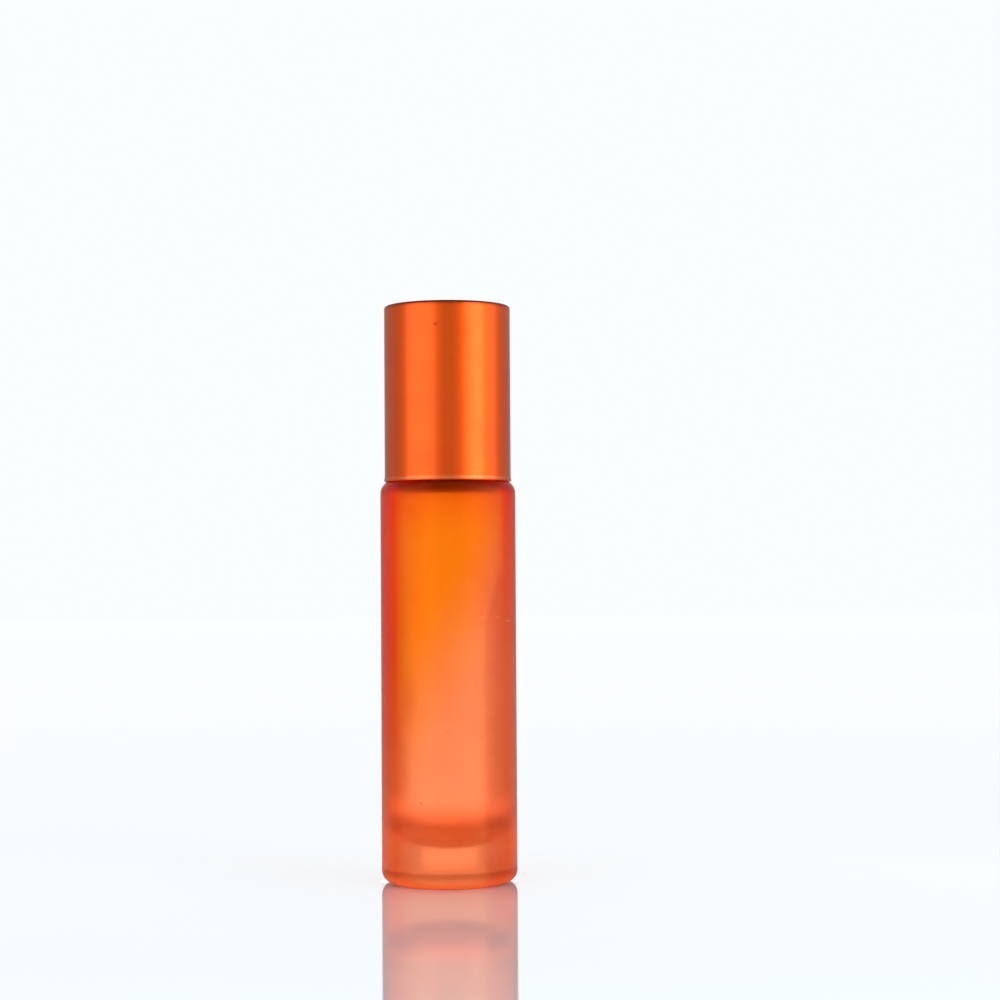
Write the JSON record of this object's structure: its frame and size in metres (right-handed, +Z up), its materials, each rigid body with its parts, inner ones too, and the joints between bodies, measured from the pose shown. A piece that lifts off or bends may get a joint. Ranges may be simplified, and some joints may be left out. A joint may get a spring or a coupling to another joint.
{
  "type": "roll-on bottle",
  "caption": "Slim frosted glass roll-on bottle with a glass roller ball in a press-in housing and a screw cap with a satin metal shell.",
  "frame": {"origin": "on the bottle's axis in the plane of the standing ring", "axes": "+Z up along the axis of the bottle and cap; X and Y are equivalent, with the ball's modelled roll axis along X"},
  "size_m": [0.02, 0.02, 0.085],
  "materials": {
    "frosted_glass": "orange coated glass, acid-matt outside and smooth inside",
    "housing_plastic": "natural translucent polyethylene, satin moulded",
    "ball_glass": "pale green-grey solid glass, polished",
    "liner_plastic": "soft white foamed polyethylene",
    "inner_cap_plastic": "white polypropylene, smooth moulded",
    "anodised_metal": "satin anodised aluminium, orange"
  },
  "bodies": {
    "bottle": {"glass_bottle": "frosted_glass", "roller_housing": "housing_plastic"},
    "ball": {"roller_ball": "ball_glass"},
    "liner": {"cap_liner": "liner_plastic"},
    "cap": {"inner_cap": "inner_cap_plastic", "cap_shell": "anodised_metal"}
  },
  "joints": [
    {"name": "ball_roll", "type": "hinge", "parent": "bottle", "child": "ball", "pos_m": [0, 0, 0.0727], "axis": [1, 0, 0], "continuous": true},
    {"name": "cap_rise", "type": "slide", "parent": "bottle", "child": "liner", "axis": [0, 0, 1], "range_m": [0, 0.02]},
    {"name": "cap_turn", "type": "hinge", "parent": "liner", "child": "cap", "pos_m": [0, 0, 0.0719], "axis": [0, 0, 1], "range_deg": [0, 2880]}
  ],
  "couplings": [
    {"joint": "cap_rise", "follows": "cap_turn", "m_per_rad": 0.00039788}
  ]
}
